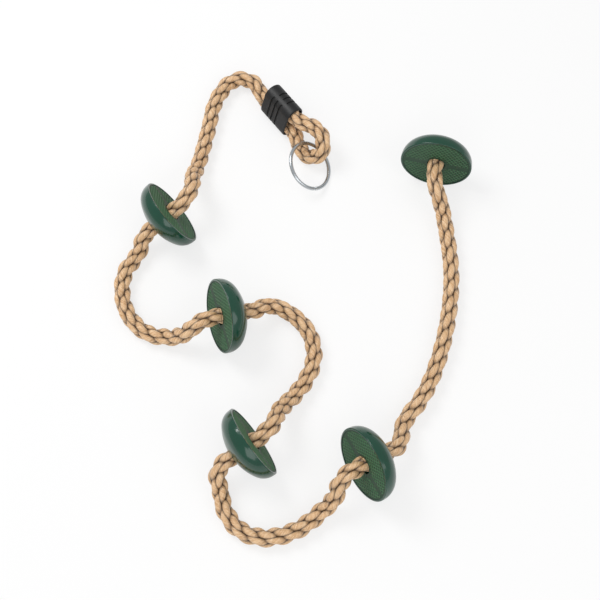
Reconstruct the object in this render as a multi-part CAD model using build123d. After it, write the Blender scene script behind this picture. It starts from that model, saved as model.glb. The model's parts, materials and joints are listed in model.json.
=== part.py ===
from build123d import *

import os
from math import cos, degrees, hypot, pi, radians, sin, sqrt, tan

# Climbing rope with five half-dome foot holds, laid out loosely on a floor.
#
# One thick rope carries everything. Its top end is folded back into an eye, which a clamp of two
# moulded shells closes, and a round steel ring hangs in the eye. Each foot hold is a hollow dome
# shell with a flat tread set into its rim. A steel pin crosses the hold's sleeve and the rope.
#
# Millimetres, +Z up. The origin is on the floor, under the middle of the holds, clamp and ring.

# Rope
ROPE_D = 28.0
ROPE_R = ROPE_D / 2
BORE_R = ROPE_R + 0.25

# Foot hold, measured back from the plane of its rim
HOLD_R = 57.5
HOLD_DEPTH = 39.5
RIM_BAND = 4.5
SHOULDER_R = 25.0
WALL = 3.0
LIP_ROUND = 1.2
TREAD_SET_IN = 0.8
TREAD_T = 3.0
TREAD_BACK = TREAD_SET_IN + TREAD_T
LEDGE_T = 2.0
LEDGE_IN = 3.0
SLEEVE_R = BORE_R + 3.25
BOSS_T = 2.2
BOSS_DEEP = 5.0
RIB_T = 2.2
RIB_ANGLES = (30, 90, 150)
PIN_R = 3.0
PIN_LENGTH = 41.0
PIN_DEPTH = 18.0
PIN_GAP = 0.05
END_HOLD = 5
END_ROPE_SHORT = 6.0

# Each hold's place on the floor: x and y of its rim's centre, the way that its tread faces
# (degrees from +X), and how far back the tread leans (degrees)
HOLD_PLACES = {
    1: (-215, 110, 31, 25),
    2: (-136, -68, -163, 18),
    3: (-80, -263, 32, 16),
    4: (78, -299, -151, 16),
    5: (206, 194, -103, 5),
}

# Clamp: an oval barrel round both legs of the eye
LEG_SPACING = 28.4
CLAMP_LENGTH = 62.0
CLAMP_R = 16.8
CLAMP_XY = (-44, 313)
CLAMP_AZIMUTH = -52.1
CLAMP_ROLL = 72.0
CLAMP_ROUND = 2.4
PARTING_ROLL = 19.0
TOOTH_PITCH = 10.0
TOOTH_REACH = 2.2
GROOVE_DEEP = 1.5
GROOVE_W = 4.2
GROOVES = 3
GROOVE_CLEAR = 3.4
TAIL_SHORT = 7.0

# Ring
RING_R = 39.0
RING_WIRE_R = 3.0
RING_GAP = 2.4
RING_CENTRE = (3.4, 209.1, 26.4)
RING_NORMAL = (0.5914, -0.0927, 0.801)
RING_GAP_SIDE = (7.1, -37.1, -9.5)

# Free rope: the points between the straight leads at a stretch's two ends, chosen by hand
LEAD_OUT = {1: 20, 2: 22, 3: 22, 4: 22, 5: 24}
LEAD_IN = {1: 22, 2: 22, 3: 22, 4: 22, 5: 24}
ROUTES = {
    1: [
        (-88, 374, 17.4), (-111, 385, 16.5), (-137, 377, 14.2), (-159, 335, 14.2),
        (-165, 292, 14.2), (-174, 247, 14.2), (-183, 206, 17), (-189, 182, 40.4),
        (-182, 151, 67.1),
    ],
    2: [
        (-268, 65, 17.4), (-274, 51, 14.2), (-293, 24, 15.7), (-295, -17, 14.2),
        (-281, -54, 14.2), (-252, -82, 14.4), (-214, -89, 17.9), (-190, -91, 39.2),
        (-176, -86, 58),
    ],
    3: [
        (-67, -39, 28.5), (-48, -37, 19.7), (-20, -51, 14.2), (5, -81, 14.2), (11, -123, 14.2),
        (-5, -161, 14.2), (-29, -191, 19.3), (-45, -212, 39), (-49, -233, 59),
    ],
    4: [
        (-136, -312, 28.3), (-129, -328, 15.9), (-126, -353, 15.1), (-105, -385, 14.2),
        (-69, -398, 14.2), (-33, -392, 14.2), (-4, -378, 14.2), (24, -353, 16.4),
        (39, -342, 37.6), (43, -325, 56.2),
    ],
    5: [
        (139, -249, 28.6), (142, -223, 16), (170, -191, 18.9), (194, -144, 14.2),
        (213, -84, 18), (225, -23, 14.2), (229, 36, 14.2), (222, 100, 19.7), (217, 132, 25.6),
        (207, 147, 49.8),
    ],
}
EYE_LEAD = 14
EYE_ROUTE = [
    (10, 270, 51.2), (24, 251, 50.8), (26, 234, 40), (16, 226, 24.8), (0, 232, 14.2),
    (-15, 251, 14.2),
]

os.makedirs("parts", exist_ok=True)


def save(node, shape):
    """Write one node's STEP file under the node's name."""
    export_step(shape, f"parts/{node}.step")


# The dome's outline is a shoulder arc and a crown arc that meet smoothly
SHOULDER_X = HOLD_R - SHOULDER_R
RISE = HOLD_DEPTH - RIM_BAND
CROWN_R = (SHOULDER_X**2 + RISE**2 - SHOULDER_R**2) / (2 * (RISE - SHOULDER_R))
CROWN_Z = HOLD_DEPTH - CROWN_R
CENTRES_APART = CROWN_R - SHOULDER_R
TO_SHOULDER = (SHOULDER_X / CENTRES_APART, (RIM_BAND - CROWN_Z) / CENTRES_APART)


def hold_plane(hold):
    """Plane on a hold's rim: its Z goes back into the dome and its X is level."""
    x, y, azimuth, lean = HOLD_PLACES[hold]
    azimuth, lean = radians(azimuth), radians(lean)
    facing = Vector(cos(azimuth) * cos(lean), sin(azimuth) * cos(lean), sin(lean))
    # The floor touches the shoulder arc, whose centre is this far below the rim's centre
    height = RIM_BAND * sin(lean) + SHOULDER_X * cos(lean) + SHOULDER_R
    return Plane(origin=(x, y, height), x_dir=(-sin(azimuth), cos(azimuth), 0), z_dir=-facing)


def crown_depth(radius, wall=0.0):
    """Depth of the crown arc, moved in by wall, at a distance from the axis."""
    return CROWN_Z + sqrt((CROWN_R - wall) ** 2 - radius**2)


def dome_arcs(wall, from_depth, to_radius):
    """The dome's outline, moved in by wall, from its side at from_depth to to_radius."""
    shoulder, crown = SHOULDER_R - wall, CROWN_R - wall
    start = (SHOULDER_X + sqrt(shoulder**2 - (from_depth - RIM_BAND) ** 2), from_depth)
    joint = (TO_SHOULDER[0] * crown, CROWN_Z + TO_SHOULDER[1] * crown)
    bow = (start[0] + joint[0] - 2 * SHOULDER_X, start[1] + joint[1] - 2 * RIM_BAND)
    bow_length = hypot(*bow)
    middle = (
        SHOULDER_X + shoulder * bow[0] / bow_length,
        RIM_BAND + shoulder * bow[1] / bow_length,
    )
    half = (joint[0] + to_radius) / 2
    return [
        ThreePointArc(start, middle, joint),
        ThreePointArc(
            joint, (half, crown_depth(half, wall)), (to_radius, crown_depth(to_radius, wall))
        ),
    ]


def revolved(edges, *corners):
    """Solid of revolution: the edges, then straight lines through corners back to their start."""
    points = [edges[-1] @ 1, *corners, edges[0] @ 0]
    outline = Wire(edges + [Line(a, b) for a, b in zip(points, points[1:])])
    return revolve(Plane.XZ * make_face(outline), Axis.Z)


def dome_shell():
    """Hollow dome with a ledge for the tread, a central sleeve for the rope and ribs between."""
    lip = ThreePointArc(
        (HOLD_R - LIP_ROUND, 0),
        (HOLD_R - LIP_ROUND * (1 - sin(radians(45))), LIP_ROUND * (1 - cos(radians(45)))),
        (HOLD_R, LIP_ROUND),
    )
    band = Line((HOLD_R, LIP_ROUND), (HOLD_R, RIM_BAND))
    outer = revolved([lip, band, *dome_arcs(0, RIM_BAND, 0)], (0, 0))
    ledge_back = TREAD_BACK + LEDGE_T
    inner = revolved(dome_arcs(WALL, ledge_back, 0), (0, ledge_back))
    seat = Cylinder(HOLD_R - WALL, TREAD_BACK, align=(Align.CENTER, Align.CENTER, Align.MIN))
    throat = Cylinder(
        HOLD_R - WALL - LEDGE_IN, ledge_back, align=(Align.CENTER, Align.CENTER, Align.MIN)
    )
    shell = outer - inner - seat - throat
    below = (Align.CENTER, Align.CENTER, Align.MIN)
    sleeve = Pos(0, 0, TREAD_BACK) * Cylinder(SLEEVE_R, HOLD_DEPTH, align=below)
    shell += sleeve & outer
    rib_start = TREAD_BACK + BOSS_DEEP + 1
    for angle in RIB_ANGLES:
        rib = Pos(0, 0, rib_start) * Box(2 * HOLD_R, RIB_T, HOLD_DEPTH, align=below)
        shell += (Rot(0, 0, angle) * rib) & inner
    shell -= Cylinder(BORE_R, 3 * HOLD_DEPTH)
    return shell - pin_bore()


def pin_bore():
    """The cross pin's clearance hole, long enough for the pin and no longer."""
    hole = Cylinder(PIN_R + PIN_GAP, PIN_LENGTH + 1)
    return Pos(0, 0, PIN_DEPTH) * Rot(0, 90, 0) * hole


def tread():
    """Flat round plate with a boss behind it that fits round the sleeve."""
    below = (Align.CENTER, Align.CENTER, Align.MIN)
    plate = Pos(0, 0, TREAD_SET_IN) * Cylinder(HOLD_R - WALL - 0.1, TREAD_T, align=below)
    boss_r = SLEEVE_R + 0.1
    boss = Cylinder(boss_r + BOSS_T, BOSS_DEEP, align=below)
    boss -= Cylinder(boss_r, BOSS_DEEP, align=below)
    return plate + Pos(0, 0, TREAD_BACK) * boss - Cylinder(BORE_R, 3 * HOLD_DEPTH)


def rope_core(length):
    """The rope inside a hold, with the pin's hole through it."""
    below = (Align.CENTER, Align.CENTER, Align.MIN)
    return Cylinder(ROPE_R, length, align=below) - pin_bore()


def cross_pin():
    """Plain steel pin, chamfered at both ends."""
    pin = Cylinder(PIN_R, PIN_LENGTH)
    pin = chamfer(pin.edges().filter_by(GeomType.CIRCLE), 0.6)
    return Pos(0, 0, PIN_DEPTH) * Rot(0, 90, 0) * pin


def clamp_plane():
    """Plane on the clamp's middle: Z towards the eye, X from the low leg to the high one."""
    azimuth, roll = radians(CLAMP_AZIMUTH), radians(CLAMP_ROLL)
    along = Vector(cos(azimuth), sin(azimuth), 0)
    side = Vector(-along.Y, along.X, 0)
    height = CLAMP_R + LEG_SPACING / 2 * sin(roll)
    return Plane(
        origin=(*CLAMP_XY, height),
        x_dir=side * cos(roll) + Vector(0, 0, sin(roll)),
        z_dir=along,
    )


def oval(radius, length):
    """Straight prism round both legs of the eye, centred on the clamp."""
    return extrude(SlotCenterToCenter(LEG_SPACING, 2 * radius), length / 2, both=True)


def clamp_shells():
    """The two half shells, which part along a toothed line, with grooves round each."""
    barrel = oval(CLAMP_R, CLAMP_LENGTH)
    ends = barrel.faces().filter_by(Axis.Z).edges()
    barrel = fillet(ends, CLAMP_ROUND)
    barrel -= oval(BORE_R, 2 * CLAMP_LENGTH)
    grooved_band = oval(CLAMP_R + 2, GROOVE_W) - oval(CLAMP_R - GROOVE_DEEP, GROOVE_W)
    wide = 4 * CLAMP_R
    turn = Rot(0, 0, PARTING_ROLL)
    side_box = Box(2 * wide, wide, CLAMP_LENGTH, align=(Align.CENTER, Align.MIN, Align.CENTER))
    for side in (1, -1):
        half = turn * Rot(0, 0, 90 - 90 * side) * Pos(0, GROOVE_CLEAR, 0) * side_box
        for k in range(GROOVES):
            place = (k - (GROOVES - 1) / 2) * TOOTH_PITCH - side * TOOTH_PITCH / 4
            barrel -= (Pos(0, 0, place) * grooved_band) & half
    cutter = Pos(0, TOOTH_REACH, 0) * side_box
    teeth = GROOVES + 2
    for k in range(teeth):
        place = (k - (teeth - 1) / 2) * TOOTH_PITCH + TOOTH_PITCH / 4
        tooth = Box(2 * wide, 2 * TOOTH_REACH, TOOTH_PITCH / 2)
        cutter += Pos(0, 0, place) * tooth
    cutter = turn * cutter
    return barrel & cutter, barrel - cutter


def leg_point(side, along):
    """Point on a leg of the eye: side is 1 for the high leg and -1 for the low one."""
    return clamp_plane().from_local_coords(Vector(side * LEG_SPACING / 2, 0, along))


def rope_tube(name, points):
    """Tube of straight runs joined by tangent arcs, each as large as its two runs allow."""
    points = [Vector(p) for p in points]
    runs = [b - a for a, b in zip(points, points[1:])]
    turns = [a.get_angle(b) for a, b in zip(runs, runs[1:])]
    radii = [
        0.45 * min(a.length, b.length) / tan(radians(turn / 2))
        for a, b, turn in zip(runs, runs[1:], turns)
    ]
    path = FilletPolyline(*points, radius=radii)
    tube = sweep(Plane(origin=path @ 0, z_dir=path % 0) * Circle(ROPE_R), path=path)
    section = pi * ROPE_R**2
    print(
        f"{name}: length {path.length:.0f}, volume / (section x length)"
        f" {tube.volume / section / path.length:.4f}, lowest {tube.bounding_box().min.Z:.2f}"
    )
    print("   runs", [round(run.length) for run in runs])
    print("   turns", [round(turn) for turn in turns])
    print("   radii", [round(radius) for radius in radii])
    return tube


def stretch_points(stretch):
    """Route of one free stretch: a lead out, its own points, and a lead into the next hold."""
    if stretch == 1:
        start, heading = leg_point(-1, -CLAMP_LENGTH / 2), -clamp_plane().z_dir
    else:
        rim = hold_plane(stretch - 1)
        start, heading = rim.from_local_coords(Vector(0, 0, HOLD_DEPTH)), rim.z_dir
    rim = hold_plane(stretch)
    end = rim.origin
    lead_out = start + heading * LEAD_OUT[stretch]
    lead_in = end - rim.z_dir * LEAD_IN[stretch]
    return [start, lead_out, *ROUTES[stretch], lead_in, end]


def eye_points():
    """Route of the eye: from the clamp along the high leg, round, and back along the low one."""
    mouth = CLAMP_LENGTH / 2
    ends = [leg_point(side, mouth) for side in (1, -1)]
    leads = [leg_point(side, mouth + EYE_LEAD) for side in (1, -1)]
    return [ends[0], leads[0], *EYE_ROUTE, leads[1], ends[1]]


def ring():
    """Round bar bent to a circle, with a narrow gap between its butt ends."""
    gap = degrees(RING_GAP / RING_R)
    wire = Plane.XZ * Pos(RING_R, 0) * Circle(RING_WIRE_R)
    bent = Rot(0, 0, gap / 2) * revolve(wire, Axis.Z, 360 - gap)
    bent = chamfer(bent.edges().filter_by(GeomType.CIRCLE).sort_by(SortBy.RADIUS)[:2], 0.4)
    return Plane(origin=RING_CENTRE, x_dir=RING_GAP_SIDE, z_dir=RING_NORMAL) * bent


shell, plate, pin = dome_shell(), tread(), cross_pin()
for hold in HOLD_PLACES:
    rim = hold_plane(hold)
    held = HOLD_DEPTH - (END_ROPE_SHORT if hold == END_HOLD else 0)
    save(f"hold_{hold}_dome", rim * shell)
    save(f"hold_{hold}_tread", rim * plate)
    save(f"hold_{hold}_pin", rim * pin)
    save(f"rope_in_hold_{hold}", rim * rope_core(held))

left_shell, right_shell = clamp_shells()
save("clamp_left_shell", clamp_plane() * left_shell)
save("clamp_right_shell", clamp_plane() * right_shell)
legs = {"rope_in_clamp": (-1, 0.0), "rope_tail_in_clamp": (1, TAIL_SHORT)}
for node, (side, short) in legs.items():
    length = CLAMP_LENGTH - short
    leg = Pos(side * LEG_SPACING / 2, 0, short / 2) * Cylinder(ROPE_R, length)
    save(node, clamp_plane() * leg)

for stretch in ROUTES:
    save(f"rope_stretch_{stretch}", rope_tube(f"stretch {stretch}", stretch_points(stretch)))
save("rope_eye", rope_tube("eye", eye_points()))
save("hanging_ring", ring())
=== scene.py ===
"""Climbing rope with five foot holds: its looks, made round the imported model.

The rope is three-strand laid polypropylene, each strand of three thick yarns. It replaces the plain
tubes. The holds, the clamp and the ring are the model's own, with moulded ribs added on the treads.
Metres, in the model's frame.
"""

import json

from math import cos, pi, radians, sin, sqrt

import bpy
import numpy as np
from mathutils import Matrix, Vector


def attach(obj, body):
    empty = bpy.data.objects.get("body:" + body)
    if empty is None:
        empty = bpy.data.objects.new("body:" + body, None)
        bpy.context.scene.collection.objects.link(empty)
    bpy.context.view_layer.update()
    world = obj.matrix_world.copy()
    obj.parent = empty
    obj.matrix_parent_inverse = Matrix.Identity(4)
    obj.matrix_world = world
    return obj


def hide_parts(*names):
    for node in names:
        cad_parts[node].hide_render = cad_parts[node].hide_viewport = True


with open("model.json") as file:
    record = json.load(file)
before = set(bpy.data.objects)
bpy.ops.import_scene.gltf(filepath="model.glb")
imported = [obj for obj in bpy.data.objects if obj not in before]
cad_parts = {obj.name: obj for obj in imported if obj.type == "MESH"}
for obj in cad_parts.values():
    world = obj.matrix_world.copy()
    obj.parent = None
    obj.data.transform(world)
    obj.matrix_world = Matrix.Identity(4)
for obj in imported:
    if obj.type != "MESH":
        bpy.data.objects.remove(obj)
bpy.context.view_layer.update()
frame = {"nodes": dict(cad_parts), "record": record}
MOUNTS = {mount["name"]: mount for mount in frame["record"]["mounts"]}
MM = 0.001
HOLDS = (1, 2, 3, 4, 5)

# Rope
ROPE_D = 28 * MM
STRANDS = 3
YARNS = 3
YARN_TWIST = 1
LAY = {"eye": 2.7, 1: 2.85, 2: 2.75, 3: 2.8, 4: 2.75, 5: 3.05}
STRAND_OFF = 0.200 * ROPE_D
YARN_OFF = 0.105 * ROPE_D
YARN_R = 0.193 * ROPE_D
RING_STEP = 1.5 * MM
YARN_SIDES = 14
FIBRE_TURN = 0.9
FIBRE_STRETCH = 0.05
STRAND_APART = 9
# Painted shade: where the rope's colour starts to darken below its outside, how far down that reaches,
# and how much the creases between yarns are darkened
GROOVE_SHADE_TOP = 0.86
GROOVE_SHADE_REACH = 0.28
YARN_CREASE_SHADE = 0.75
MIN_RINGS = 8
END_ROUND = 5 * MM
END_DRAWN_IN = 0.75

# Foot hold
HOLD_DEPTH = 39.5 * MM
TREAD_SET_IN = 0.8 * MM
MOUNT_UP = 35 * MM
END_SHORT = 6 * MM
RIBBED_R = 52 * MM
COLLAR_R = 18.5 * MM
RIB_PITCH = 5.2 * MM
RIB_HIGH = 0.65 * MM
RIB_WIDE = 1.1 * MM
RIB_SLANT = 42
BAND_HALF = 5 * MM
RIB_POINTS = 7
RIB_SUNK = 0.05 * MM
SECOND_SET_HIGH = 0.8
RIB_END_HIGH = 0.02
SPAN_STEPS = 400

# Clamp
CLAMP_AT = (-44 * MM, 313 * MM)
CLAMP_R = 16.8 * MM
CLAMP_LENGTH = 62 * MM
CLAMP_AZIMUTH = radians(-52.1)
CLAMP_ROLL = radians(72)
LEG_SPACING = 28.4 * MM
TAIL_SHORT = 7 * MM

# Free rope: the route of each stretch between its straight leads
LEAD_OUT = {1: 0.020, 2: 0.022, 3: 0.022, 4: 0.022, 5: 0.024}
LEAD_IN = {1: 0.022, 2: 0.022, 3: 0.022, 4: 0.022, 5: 0.024}
ROUTES = {
    1: [
        (-0.088, 0.374, 0.0174), (-0.111, 0.385, 0.0165), (-0.137, 0.377, 0.0142),
        (-0.159, 0.335, 0.0142), (-0.165, 0.292, 0.0142), (-0.174, 0.247, 0.0142),
        (-0.183, 0.206, 0.017), (-0.189, 0.182, 0.0404), (-0.182, 0.151, 0.0671),
    ],
    2: [
        (-0.268, 0.065, 0.0174), (-0.274, 0.051, 0.0142), (-0.293, 0.024, 0.0157),
        (-0.295, -0.017, 0.0142), (-0.281, -0.054, 0.0142), (-0.252, -0.082, 0.0144),
        (-0.214, -0.089, 0.0179), (-0.190, -0.091, 0.0392), (-0.176, -0.086, 0.058),
    ],
    3: [
        (-0.067, -0.039, 0.0285), (-0.048, -0.037, 0.0197), (-0.020, -0.051, 0.0142),
        (0.005, -0.081, 0.0142), (0.011, -0.123, 0.0142), (-0.005, -0.161, 0.0142),
        (-0.029, -0.191, 0.0193), (-0.045, -0.212, 0.039), (-0.049, -0.233, 0.059),
    ],
    4: [
        (-0.136, -0.312, 0.0283), (-0.129, -0.328, 0.0159), (-0.126, -0.353, 0.0151),
        (-0.105, -0.385, 0.0142), (-0.069, -0.398, 0.0142), (-0.033, -0.392, 0.0142),
        (-0.004, -0.378, 0.0142), (0.024, -0.353, 0.0164), (0.039, -0.342, 0.0376),
        (0.043, -0.325, 0.0562),
    ],
    5: [
        (0.139, -0.249, 0.0286), (0.142, -0.223, 0.016), (0.170, -0.191, 0.0189),
        (0.194, -0.144, 0.0142), (0.213, -0.084, 0.018), (0.225, -0.023, 0.0142),
        (0.229, 0.036, 0.0142), (0.222, 0.100, 0.0197), (0.217, 0.132, 0.0256),
        (0.207, 0.147, 0.0498),
    ],
}
EYE_LEAD = 0.014
EYE_ROUTE = [
    (0.010, 0.270, 0.0512), (0.024, 0.251, 0.0508), (0.026, 0.234, 0.040),
    (0.016, 0.226, 0.0248), (0.000, 0.232, 0.0142), (-0.015, 0.251, 0.0142),
]
CORD_LENGTHS = {"eye": 0.181, 1: 0.400, 2: 0.347, 3: 0.358, 4: 0.365, 5: 0.530}

# Camera and floor
VIEW_DOWN = radians(68)
FIELD = radians(30)
AIM = (-0.013, -0.018, 0.0)
DISTANCE = 1.77898
FLOOR_SIZE = 14.0
FLOOR_GLOW = 0.72
WORLD_ON_OBJECT = 0.55
LAMPS = (
    ("key", (-1.3, 0.9, 2.2), 1.2, 34),
    ("fill", (1.6, -1.2, 1.9), 1.6, 12),
    ("front", (-0.3, -2.0, 1.5), 1.4, 10),
)


# ---------------------------------------------------------------- small tools


def unit(vector):
    """The vector at length one."""
    vector = np.asarray(vector, float)
    return vector / np.linalg.norm(vector)


def hex_colour(code):
    """An sRGB hex colour as linear red, green, blue and full alpha."""
    srgb = np.array([int(code[k : k + 2], 16) for k in (1, 3, 5)]) / 255
    linear = np.where(srgb <= 0.04045, srgb / 12.92, ((srgb + 0.055) / 1.055) ** 2.4)
    return (*linear, 1.0)


def mesh_piece(name, points, faces, attributes=()):
    """A new object with smooth faces, and a named value or vector at each point."""
    mesh = bpy.data.meshes.new(name)
    mesh.from_pydata(points.tolist(), [], faces)
    mesh.shade_smooth()
    for label, values in dict(attributes).items():
        kind = "FLOAT_VECTOR" if values.ndim == 2 else "FLOAT"
        layer = mesh.attributes.new(label, kind, "POINT")
        layer.data.foreach_set("vector" if values.ndim == 2 else "value", values.ravel())
    mesh.update()
    piece = bpy.data.objects.new(name, mesh)
    bpy.context.scene.collection.objects.link(piece)
    return piece


def tube_faces(rings, sides, first=0):
    """Quads of a closed tube of rings and sides, whose two ends are single points after them."""
    ring = np.arange(rings - 1)[:, None] * sides + first
    side = np.arange(sides)[None, :]
    ahead = (side + 1) % sides
    quads = np.stack([ring + side, ring + ahead, ring + sides + ahead, ring + sides + side], -1)
    start, end = first + rings * sides, first + rings * sides + 1
    side, ahead = side[0], ahead[0]
    last = first + (rings - 1) * sides
    caps = [(start, first + b, first + a) for a, b in zip(side, ahead)]
    caps += [(end, last + a, last + b) for a, b in zip(side, ahead)]
    return quads.reshape(-1, 4).tolist() + caps


# ---------------------------------------------------------------- materials


def new_material(name):
    """An empty node material and its Principled shader."""
    material = bpy.data.materials.new(name)
    material.use_nodes = True
    return material, material.node_tree.nodes["Principled BSDF"]


def add(material, kind, settings=(), links=()):
    """Add a node, set its properties or its inputs, and link its inputs from other sockets."""
    tree = material.node_tree
    node = tree.nodes.new(kind)
    for name, value in dict(settings).items():
        if name in node.inputs:
            node.inputs[name].default_value = value
        else:
            setattr(node, name, value)
    for name, socket in dict(links).items():
        tree.links.new(socket, node.inputs[name])
    return node


def link(material, socket, target):
    """Link one socket to another."""
    material.node_tree.links.new(socket, target)


def ramp(material, factor, *stops):
    """Colours or greys from a factor, at the given places."""
    node = add(material, "ShaderNodeValToRGB", links={"Fac": factor})
    elements = node.color_ramp.elements
    while len(elements) < len(stops):
        elements.new(0.5)
    for element, (place, code) in zip(elements, stops):
        element.position = place
        element.color = hex_colour(code)
    return node.outputs["Color"]


def laid_polypropylene():
    """Split-film polypropylene spun into yarns and laid: silky, with fine fibres along each yarn,
    pale where they catch the light, and with shade painted dark brown into the colour down in the
    grooves."""
    material, shader = new_material("laid_polypropylene")
    fibre = add(material, "ShaderNodeAttribute", {"attribute_name": "fibre"}).outputs["Vector"]
    # Painted shade: how far each point lies down in the grooves and creases, which darkens its colour
    depth = add(material, "ShaderNodeAttribute", {"attribute_name": "groove_shade"}).outputs["Fac"]
    # Fibres about 0.9 mm apart, coarser than the real film's so that they show
    fine = add(
        material,
        "ShaderNodeTexNoise",
        {"Scale": 1.15, "Detail": 3.0, "Roughness": 0.62},
        {"Vector": fibre},
    ).outputs["Fac"]
    broad = add(
        material,
        "ShaderNodeTexNoise",
        {"Scale": 0.28, "Detail": 2.0},
        {"Vector": fibre},
    ).outputs["Fac"]
    base = ramp(material, broad, (0.30, "#b98a58"), (0.52, "#dcb285"), (0.75, "#f2d4ae"))
    streak = ramp(material, fine, (0.34, "#9a6c40"), (0.52, "#e6bf92"), (0.70, "#fde8ca"))
    # A colour mix has its factor, first and second colours at inputs 0, 6 and 7
    mixed = add(material, "ShaderNodeMix", {"data_type": "RGBA", "Factor": 0.5})
    link(material, base, mixed.inputs[6])
    link(material, streak, mixed.inputs[7])
    # Painted shade: the colour is mixed towards near-black brown down in the grooves and creases, in
    # place of their shadow
    dark = add(material, "ShaderNodeMix", {"data_type": "RGBA"})
    link(material, depth, dark.inputs[0])
    link(material, mixed.outputs[2], dark.inputs[6])
    dark.inputs[7].default_value = hex_colour("#2a1508")
    link(material, dark.outputs[2], shader.inputs["Base Color"])
    bump = add(
        material,
        "ShaderNodeBump",
        {"Strength": 0.55, "Distance": 0.7 * MM},
        {"Height": fine},
    )
    link(material, bump.outputs["Normal"], shader.inputs["Normal"])
    shader.inputs["Roughness"].default_value = 0.36
    shader.inputs["IOR"].default_value = 1.49
    shader.inputs["Sheen Weight"].default_value = 0.15
    shader.inputs["Sheen Roughness"].default_value = 0.4
    return material


def plain_material(name, code, roughness, grain_mm, bump_mm, metallic=0.0, spread=0.0, coat=0.0):
    """A moulded, plated or drawn surface: one colour, a faint unevenness and a fine grain."""
    material, shader = new_material(name)
    place = add(material, "ShaderNodeTexCoord").outputs["Object"]
    grain = add(
        material,
        "ShaderNodeTexNoise",
        {"Scale": 1 / (grain_mm * MM), "Detail": 2.0},
        {"Vector": place},
    ).outputs["Fac"]
    cloud = add(material, "ShaderNodeTexNoise", {"Scale": 45.0, "Detail": 1.0}, {"Vector": place})
    tone = add(
        material,
        "ShaderNodeHueSaturation",
        {"Color": hex_colour(code)},
    )
    value = add(
        material,
        "ShaderNodeMapRange",
        {"To Min": 1 - spread, "To Max": 1 + spread},
        {"Value": cloud.outputs["Fac"]},
    )
    link(material, value.outputs["Result"], tone.inputs["Value"])
    link(material, tone.outputs["Color"], shader.inputs["Base Color"])
    gloss = add(
        material,
        "ShaderNodeMapRange",
        {"To Min": roughness * 0.85, "To Max": roughness * 1.15},
        {"Value": cloud.outputs["Fac"]},
    )
    link(material, gloss.outputs["Result"], shader.inputs["Roughness"])
    bump = add(
        material,
        "ShaderNodeBump",
        {"Strength": 1.0, "Distance": bump_mm * MM},
        {"Height": grain},
    )
    link(material, bump.outputs["Normal"], shader.inputs["Normal"])
    shader.inputs["Metallic"].default_value = metallic
    shader.inputs["Coat Weight"].default_value = coat
    shader.inputs["Coat Roughness"].default_value = 0.06
    return material


def dress(name, material):
    """Give a carried-over part its material."""
    slots = frame["nodes"][name].data.materials
    slots.clear()
    slots.append(material)


# ---------------------------------------------------------------- rope


def hold_frame(hold):
    """A hold's rim centre, the way its tread faces, and its level and rising directions."""
    mount = MOUNTS[f"tread_{hold}_face"]
    facing = unit(mount["axis"])
    level = unit(np.cross((0, 0, 1), facing))
    rising = np.cross(facing, level)
    rim = np.array(mount["pos_m"]) + TREAD_SET_IN * facing - MOUNT_UP * rising
    return rim, facing, level, rising


def clamp_frame():
    """The clamp's middle, its direction towards the eye, and its low leg to high leg direction."""
    along = np.array((cos(CLAMP_AZIMUTH), sin(CLAMP_AZIMUTH), 0))
    side = np.array((-along[1], along[0], 0))
    across = side * cos(CLAMP_ROLL) + np.array((0, 0, sin(CLAMP_ROLL)))
    height = CLAMP_R + LEG_SPACING / 2 * sin(CLAMP_ROLL)
    return np.array((*CLAMP_AT, height)), along, across


def leg_point(side, distance):
    """A point on the high leg (1) or the low one (-1), at a distance along the clamp."""
    middle, along, across = clamp_frame()
    return middle + side * LEG_SPACING / 2 * across + distance * along


def stretch_points(stretch):
    """Control points of one free stretch, from the clamp or a hold's crown to the next rim."""
    if stretch == 1:
        start, heading = leg_point(-1, -CLAMP_LENGTH / 2), -clamp_frame()[1]
    else:
        rim, facing = hold_frame(stretch - 1)[:2]
        start, heading = rim - HOLD_DEPTH * facing, -facing
    end, facing = hold_frame(stretch)[:2]
    lead_out = start + heading * LEAD_OUT[stretch]
    lead_in = end + facing * LEAD_IN[stretch]
    return np.array([start, lead_out, *ROUTES[stretch], lead_in, end])


def eye_points():
    """Control points of the eye, from the high leg round to the low one."""
    mouth = CLAMP_LENGTH / 2
    ends = [leg_point(side, mouth) for side in (1, -1)]
    leads = [leg_point(side, mouth + EYE_LEAD) for side in (1, -1)]
    return np.array([ends[0], leads[0], *EYE_ROUTE, leads[1], ends[1]])


def smooth_line(points):
    """Points read from the NURBS curve of order 3 that has these control points."""
    curve = bpy.data.curves.new("route", "CURVE")
    curve.dimensions = "3D"
    curve.resolution_u = 24
    spline = curve.splines.new("NURBS")
    spline.points.add(len(points) - 1)
    spline.points.foreach_set("co", np.c_[points, np.ones(len(points))].ravel())
    spline.order_u = 3
    spline.use_endpoint_u = True
    holder = bpy.data.objects.new("route", curve)
    line = bpy.data.meshes.new_from_object(holder)
    read = np.zeros(len(line.vertices) * 3)
    line.vertices.foreach_get("co", read)
    bpy.data.objects.remove(holder)
    bpy.data.meshes.remove(line)
    return read.reshape(-1, 3)


def rope_sections():
    """Every section of the one rope, in order from its tail: name, lay and centreline points."""
    half = CLAMP_LENGTH / 2
    tail = np.array([leg_point(1, TAIL_SHORT - half), leg_point(1, half)])
    leg = np.array([leg_point(-1, half), leg_point(-1, -half)])
    sections = [
        ("rope_tail_in_clamp", LAY["eye"], tail),
        ("rope_eye", LAY["eye"], smooth_line(eye_points())),
        ("rope_in_clamp", LAY["eye"], leg),
    ]
    for hold in HOLDS:
        rim, facing = hold_frame(hold)[:2]
        depth = HOLD_DEPTH - (END_SHORT if hold == HOLDS[-1] else 0)
        sections.append((f"rope_stretch_{hold}", LAY[hold], smooth_line(stretch_points(hold))))
        sections.append((f"rope_in_hold_{hold}", LAY[hold], np.array([rim, rim - depth * facing])))
    return sections


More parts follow.
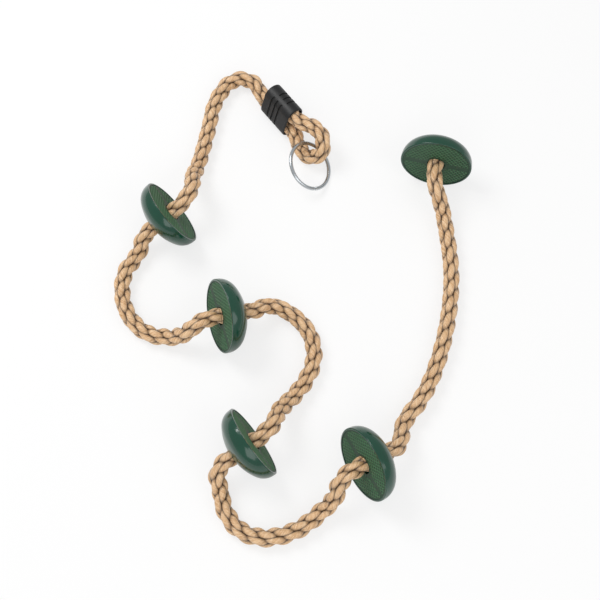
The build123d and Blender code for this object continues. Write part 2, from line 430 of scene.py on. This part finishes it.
def distances(line):
    """Distance along a line of points."""
    return np.r_[0, np.cumsum(np.linalg.norm(np.diff(line, axis=0), axis=1))]


def spread_over(line, places):
    """Points of a line at the given distances along it."""
    along = distances(line)
    return np.stack([np.interp(places, along, line[:, k]) for k in range(3)], -1)


def carried_frame(line):
    """Tangent and two cross directions along a line, turned as little as possible on the way."""
    tangent = np.gradient(line, axis=0)
    tangent /= np.linalg.norm(tangent, axis=1)[:, None]
    normal = np.zeros_like(line)
    normal[0] = unit(np.cross(tangent[0], (0, 0, 1)))
    for k in range(1, len(line)):
        carried = normal[k - 1] - tangent[k] * (normal[k - 1] @ tangent[k])
        normal[k] = carried / np.linalg.norm(carried)
    return tangent, normal, np.cross(tangent, normal)


def yarn_outline():
    """A strand's outline about its centre: three equal circles, the yarns, pressed together.

    Over the third of a turn that a yarn takes, at an angle a from its middle, the outline's radius is
    off * cos a + sqrt(r^2 - off^2 * sin^2 a). Gives the angles, the radii and how deep each point
    lies below the yarn's top, as a share of the deepest.
    """
    sides = YARNS * YARN_SIDES
    turn = np.arange(sides) * 2 * pi / sides
    within = (turn + pi / YARNS) % (2 * pi / YARNS) - pi / YARNS
    radius = YARN_OFF * np.cos(within) + np.sqrt(YARN_R**2 - (YARN_OFF * np.sin(within)) ** 2)
    below = (radius.max() - radius) / (radius.max() - radius.min())
    return turn, radius, below


def laid_rope(name, line, phase, normal, binormal, start, rounded):
    """One section of rope as three closed tubes, the strands.

    A strand's centre goes round the rope's centreline at STRAND_OFF, turned by the lay's phase, and
    its outline of yarns turns the other way YARN_TWIST times as fast. Where rounded is 1 or -1, the
    section's first or last end draws in like a melted one. Each point holds a fibre coordinate, in
    millimetres, which turns with the yarns, and a painted shade that grows with its depth in the
    grooves.
    """
    turn, radius, below = yarn_outline()
    points, faces, fibres, grooves = [], [], [], []
    size = np.ones(len(line))
    if rounded:
        near = np.clip(1 - distances(line[::rounded])[::rounded] / END_ROUND, 0, 1)
        size = np.sqrt(1 - END_DRAWN_IN * near**2)
    along = start + distances(line)
    for strand in range(STRANDS):
        main = phase + 2 * pi * strand / STRANDS
        angle = turn[None, :] - YARN_TWIST * phase[:, None]
        x = (STRAND_OFF * np.cos(main))[:, None] + radius * np.cos(angle)
        y = (STRAND_OFF * np.sin(main))[:, None] + radius * np.sin(angle)
        x, y = x * size[:, None], y * size[:, None]
        ring = line[:, None] + x[..., None] * normal[:, None] + y[..., None] * binormal[:, None]
        ends = np.stack([ring[0].mean(0), ring[-1].mean(0)])
        faces += tube_faces(len(line), len(turn), sum(len(p) for p in points))
        points.append(np.vstack([ring.reshape(-1, 3), ends]))
        twist = turn[None, :] + FIBRE_TURN * phase[:, None]
        fibre = np.stack(
            [
                radius * np.cos(twist) / MM,
                radius * np.sin(twist) / MM,
                np.broadcast_to(along[:, None] / MM * FIBRE_STRETCH + STRAND_APART * strand, twist.shape),
            ],
            -1,
        )
        fibres.append(np.vstack([fibre.reshape(-1, 3), fibre[0].mean(0), fibre[-1].mean(0)]))
        # Painted shade: darker towards the rope's core between the strands, and in the creases between
        # the yarns
        outer = np.hypot(x, y) / (ROPE_D / 2)
        deep = np.clip((GROOVE_SHADE_TOP - outer) / GROOVE_SHADE_REACH, 0, 1) ** 1.2 + YARN_CREASE_SHADE * below**4
        grooves.append(np.r_[np.clip(deep, 0, 1).ravel(), 0, 0])
    layers = {"fibre": np.vstack(fibres), "groove_shade": np.concatenate(grooves)}
    return mesh_piece(name, np.vstack(points), faces, layers)


def make_rope(material):
    """The whole rope, cut into its sections, with one lay and one twist all the way."""
    sections = rope_sections()
    starts = np.r_[0, np.cumsum([distances(line)[-1] for _, _, line in sections])]
    whole = np.vstack([sections[0][2][:1], *[line[1:] for _, _, line in sections]])
    steps = np.arange(0, starts[-1], MM)
    even = spread_over(whole, steps)
    _, normals, _ = carried_frame(even)
    rates = np.array([2 * pi / (lay * ROPE_D) for _, lay, _ in sections])
    phases = np.r_[0, np.cumsum(rates * np.diff(starts))]
    pieces = {}
    for k, (name, _, line) in enumerate(sections):
        count = max(MIN_RINGS, int(round((starts[k + 1] - starts[k]) / RING_STEP)) + 1)
        places = np.linspace(starts[k], starts[k + 1], count)
        ring_line = spread_over(whole, places)
        beyond = np.r_[places[0] - MM, places, places[-1] + MM]
        tangent = np.gradient(spread_over(whole, beyond), axis=0)[1:-1]
        if k in (0, len(sections) - 1):
            tangent = np.gradient(ring_line, axis=0)
        tangent /= np.linalg.norm(tangent, axis=1)[:, None]
        normal = np.stack([np.interp(places, steps, normals[:, axis]) for axis in range(3)], -1)
        normal -= tangent * np.sum(normal * tangent, 1)[:, None]
        normal /= np.linalg.norm(normal, axis=1)[:, None]
        binormal = np.cross(tangent, normal)
        phase = phases[k] + (places - starts[k]) * rates[k]
        rounded = {0: 1, len(sections) - 1: -1}.get(k, 0)
        piece = laid_rope("laid_" + name, ring_line, phase, normal, binormal, starts[k], rounded)
        piece.data.materials.append(material)
        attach(piece, "rope_and_holds")
        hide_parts(name)
        pieces[name] = (piece, ring_line)
    for key, length in CORD_LENGTHS.items():
        piece, line = pieces["rope_eye" if key == "eye" else f"rope_stretch_{key}"]


# ---------------------------------------------------------------- tread ribs


def rib_spans(offset, direction, across, half):
    """Where a rib's line, at an offset, runs over one half of the tread.

    It stays inside the ribbed disc, outside the collar round the rope and off the plain band.
    """
    if abs(offset) >= RIBBED_R - RIB_WIDE:
        return []
    reach = sqrt(RIBBED_R**2 - offset**2)
    places = np.linspace(-reach, reach, SPAN_STEPS)
    spots = offset * across[None, :] + places[:, None] * direction[None, :]
    free = (np.hypot(*spots.T) > COLLAR_R) & (spots[:, 1] * half > BAND_HALF)
    edges = np.flatnonzero(np.diff(np.r_[0, free.astype(int), 0]))
    spans = zip(edges[::2], edges[1::2] - 1)
    return [(places[a], places[b]) for a, b in spans if places[b] - places[a] > 3 * RIB_WIDE]


def rib_points(offset, direction, across, span, high):
    """Points of one rib in the tread's plane and above it: four rows along, RIB_POINTS across.

    The height across follows half a cosine, and drops to almost nothing at the rib's two ends.
    """
    share = np.linspace(-1, 1, RIB_POINTS)
    profile = RIB_HIGH * np.cos(share * pi / 2) ** 0.6 - RIB_SUNK
    begin, finish = span
    places = np.array([begin, begin + RIB_WIDE / 2, finish - RIB_WIDE / 2, finish])
    rise = np.array([RIB_END_HIGH, 1, 1, RIB_END_HIGH])
    sideways = offset + share * RIB_WIDE / 2
    flat = sideways[None, :, None] * across + places[:, None, None] * direction
    lift = profile[None, :] * high * rise[:, None]
    return np.concatenate([flat, lift[..., None]], -1).reshape(-1, 3)


def tread_ribs(hold, material):
    """Two crossing sets of low moulded ribs on each half of a tread, with a plain band between."""
    rim, facing, level, rising = hold_frame(hold)
    face = rim - TREAD_SET_IN * facing
    ribs = []
    for half in (1, -1):
        for sign, high in ((1, 1.0), (-1, SECOND_SET_HIGH)):
            slant = radians(RIB_SLANT * sign * half)
            direction = np.array((sin(slant), cos(slant)))
            across = np.array((direction[1], -direction[0]))
            for offset in np.arange(-RIBBED_R, RIBBED_R, RIB_PITCH) + RIB_PITCH / 3:
                for span in rib_spans(offset, direction, across, half):
                    ribs.append(rib_points(offset, direction, across, span, high))
    rows = len(ribs[0]) // RIB_POINTS
    corner = np.arange(rows - 1)[:, None] * RIB_POINTS + np.arange(RIB_POINTS - 1)
    quads = np.stack([corner, corner + 1, corner + RIB_POINTS + 1, corner + RIB_POINTS], -1)
    firsts = np.arange(len(ribs)) * len(ribs[0])
    faces = (firsts[:, None, None] + quads.reshape(-1, 4)).reshape(-1, 4)
    points = face + np.vstack(ribs) @ np.stack([level, rising, facing])
    piece = mesh_piece(f"hold_{hold}_tread_ribs", points, faces.tolist())
    piece.data.materials.append(material)
    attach(piece, "rope_and_holds")


# ---------------------------------------------------------------- stage


def white_world():
    """A white background to the camera and through clear parts, at a plain level on the object."""
    world = bpy.data.worlds.new("studio")
    bpy.context.scene.world = world
    world.use_nodes = True
    background = world.node_tree.nodes["Background"]
    paths = add(world, "ShaderNodeLightPath").outputs
    seen = add(
        world,
        "ShaderNodeMath",
        {"operation": "MAXIMUM"},
        {0: paths["Is Camera Ray"], 1: paths["Is Transmission Ray"]},
    )
    level = add(
        world,
        "ShaderNodeMapRange",
        {"To Min": WORLD_ON_OBJECT, "To Max": 1.0},
        {"Value": seen.outputs[0]},
    )
    link(world, level.outputs["Result"], background.inputs["Strength"])
    background.inputs["Color"].default_value = (1, 1, 1, 1)


def white_floor():
    """A matt white floor that glows to the camera, so that the object's shadow on it stays faint."""
    corners = np.array([(-1, -1, 0), (1, -1, 0), (1, 1, 0), (-1, 1, 0)]) * FLOOR_SIZE / 2
    floor = mesh_piece("floor", corners, [(0, 1, 2, 3)])
    material, shader = new_material("white_floor")
    shader.inputs["Base Color"].default_value = hex_colour("#f2f2f2")
    shader.inputs["Roughness"].default_value = 1.0
    shader.inputs["Specular IOR Level"].default_value = 0.0
    white = add(material, "ShaderNodeEmission", {"Strength": 1.0})
    seen = add(material, "ShaderNodeLightPath").outputs["Is Camera Ray"]
    share = add(
        material,
        "ShaderNodeMapRange",
        {"To Min": 0.0, "To Max": FLOOR_GLOW},
        {"Value": seen},
    )
    mix = add(material, "ShaderNodeMixShader", links={0: share.outputs["Result"]})
    link(material, shader.outputs[0], mix.inputs[1])
    link(material, white.outputs[0], mix.inputs[2])
    link(material, mix.outputs[0], material.node_tree.nodes["Material Output"].inputs["Surface"])
    floor.data.materials.append(material)


def soft_lamp(name, spot, size, power):
    """A square lamp at a spot, turned to the middle of the object."""
    data = bpy.data.lights.new(name, "AREA")
    data.shape = "SQUARE"
    data.size = size
    data.energy = power
    lamp = bpy.data.objects.new(name, data)
    bpy.context.scene.collection.objects.link(lamp)
    lamp.location = spot
    lamp.rotation_mode = "QUATERNION"
    lamp.rotation_quaternion = Vector(np.array(AIM) - np.array(spot)).to_track_quat("-Z", "Y")


def make_stage():
    """White world and floor, soft lamps and the camera."""
    scene = bpy.context.scene
    scene.view_settings.view_transform = "Standard"
    white_world()
    white_floor()
    for lamp in LAMPS:
        soft_lamp(*lamp)
    data = bpy.data.cameras.new("camera")
    data.angle = FIELD
    camera = bpy.data.objects.new("camera", data)
    scene.collection.objects.link(camera)
    back = np.array((0, -cos(VIEW_DOWN), sin(VIEW_DOWN)))
    camera.location = np.array(AIM) + DISTANCE * back
    camera.rotation_euler = (pi / 2 - VIEW_DOWN, 0, 0)
    scene.camera = camera


# ---------------------------------------------------------------- make it all

make_stage()
rope = laid_polypropylene()
# Deep emerald shell with a clear gloss
dome_plastic = plain_material(
    "gloss_moulded_plastic", "#013f2d", 0.16, 1.6, 0.01, spread=0.12, coat=0.3
)
# Darker, flatter green inside the rim
tread_plastic = plain_material("satin_moulded_plastic", "#1b4029", 0.55, 0.8, 0.03, spread=0.1)
# Painted highlight: the ribs get a paler copy of the tread's green, for the light their raised tops catch
rib_plastic_painted_highlight = plain_material("ribs_with_painted_highlight", "#44704c", 0.5, 0.8, 0.02, spread=0.12)
# Dull black with a soft sheen along its ridge
clamp_plastic = plain_material("matte_moulded_nylon", "#0d0e0f", 0.5, 0.7, 0.04, spread=0.1)
# Bright, slightly clouded round bar
ring_steel = plain_material(
    "bright_zinc_steel", "#c3c8cc", 0.24, 0.9, 0.01, metallic=1.0, spread=0.08
)
# Duller plating on the hidden pins
pin_steel = plain_material(
    "zinc_plated_steel", "#a9abae", 0.35, 0.9, 0.01, metallic=1.0, spread=0.05
)

make_rope(rope)
for hold in HOLDS:
    dress(f"hold_{hold}_dome", dome_plastic)
    dress(f"hold_{hold}_tread", tread_plastic)
    dress(f"hold_{hold}_pin", pin_steel)
    tread_ribs(hold, rib_plastic_painted_highlight)
dress("clamp_left_shell", clamp_plastic)
dress("clamp_right_shell", clamp_plastic)
dress("hanging_ring", ring_steel)
